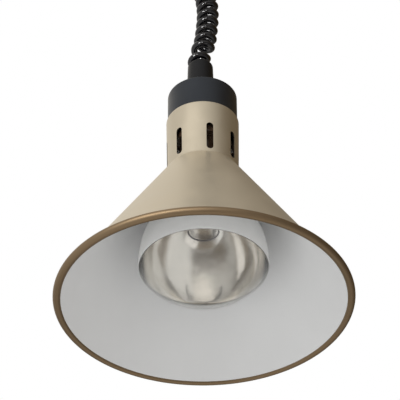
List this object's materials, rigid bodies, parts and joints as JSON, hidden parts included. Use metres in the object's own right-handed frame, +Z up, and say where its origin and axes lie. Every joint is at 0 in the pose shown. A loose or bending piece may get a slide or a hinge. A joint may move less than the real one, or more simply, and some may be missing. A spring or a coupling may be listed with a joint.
{
  "type": "pendant heat lamp",
  "caption": "Pendant heat lamp: conical spun shade with a slotted neck, reflector bulb, black cap and sleeve, hung by a curly cord from a ceiling cup.",
  "frame": {"origin": "centre of the ceiling bracket's top face, in the plane of the ceiling", "axes": "+Z up, into the ceiling; the lamp hangs along -Z; -Y faces the front; +X is to the right seen from the front, along the bracket"},
  "size_m": [0.2899, 0.29, 0.5091],
  "materials": {
    "champagne_coat": "satin",
    "black_coat": "satin",
    "black_enamel": "satin",
    "black_plastic": "matte",
    "cord_jacket": "gloss",
    "zinc_steel": "satin",
    "brass": "satin",
    "brown_porcelain": "gloss",
    "bulb_glass": "gloss",
    "stem_glass": "gloss",
    "bulb_cap_metal": "satin",
    "bulb_insulator": "gloss",
    "bulb_wire": "satin",
    "tungsten": "satin",
    "terminal_plastic": "satin",
    "brown_core": "satin",
    "blue_core": "satin",
    "earth_core": "satin"
  },
  "bodies": {
    "ceiling_fitting": {"ceiling_bracket": "zinc_steel", "ceiling_cup": "black_enamel", "ceiling_cup_screws": "zinc_steel", "cord_gland": "black_plastic", "cord_gland_nut": "black_plastic", "ceiling_cord_collar": "zinc_steel", "ceiling_collar_screw": "zinc_steel", "ceiling_cord_end": "cord_jacket", "terminal_block": "terminal_plastic", "terminal_block_screws": "brass", "ceiling_cores": "brown_core"},
    "cord_link": {"cord_bend_link": "cord_jacket"},
    "cord_upper": {"upper_cord_tail": "cord_jacket", "curly_cord": "cord_jacket"},
    "lamp": {"lower_cord_tail": "cord_jacket", "shade": "champagne_coat", "top_cap": "black_coat", "cord_sleeve": "black_plastic", "hollow_stud": "zinc_steel", "stud_top_nut": "zinc_steel", "stud_bottom_nut": "zinc_steel", "cord_collar": "zinc_steel", "cord_collar_screw": "zinc_steel", "lampholder_bracket": "zinc_steel", "lampholder_body": "brown_porcelain", "lampholder_screw_shell": "brass", "lampholder_centre_contact": "brass", "lampholder_terminals": "brass", "lampholder_screws": "zinc_steel", "lampholder_nuts": "zinc_steel", "live_core": "brown_core", "neutral_core": "blue_core", "earth_core": "earth_core", "earth_screw": "brass"},
    "bulb_carrier": {"bulb_centre_contact": "bulb_cap_metal"},
    "bulb": {"bulb_glass": "bulb_glass", "bulb_screw_cap": "bulb_cap_metal", "bulb_cap_insulator": "bulb_insulator", "bulb_stem": "stem_glass", "bulb_lead_wires": "bulb_wire", "bulb_filament": "tungsten"}
  },
  "joints": [
    {"name": "cord_swing_front_back", "type": "hinge", "parent": "ceiling_fitting", "child": "cord_link", "pos_m": [0, 0, -0.0525], "axis": [1, 0, 0], "range_deg": [-20, 20]},
    {"name": "cord_swing_side", "type": "hinge", "parent": "cord_link", "child": "cord_upper", "pos_m": [0, 0, -0.0602], "axis": [0, 1, 0], "range_deg": [-20, 20]},
    {"name": "cord_stretch", "type": "slide", "parent": "cord_upper", "child": "lamp", "axis": [0, 0, -1], "range_m": [-0.035, 0.12], "stiffness_N_per_m": 70, "springref_m": -0.11527, "deforming": ["curly_cord"]},
    {"name": "bulb_thread_travel", "type": "slide", "parent": "lamp", "child": "bulb_carrier", "axis": [0, 0, -1], "range_m": [0, 0.0128]},
    {"name": "bulb_unscrew", "type": "hinge", "parent": "bulb_carrier", "child": "bulb", "pos_m": [0, 0, -0.35], "axis": [0, 0, -1], "range_deg": [0, 1260]}
  ],
  "couplings": [
    {"joint": "bulb_thread_travel", "follows": "bulb_unscrew", "m_per_rad": 0.00057751}
  ]
}
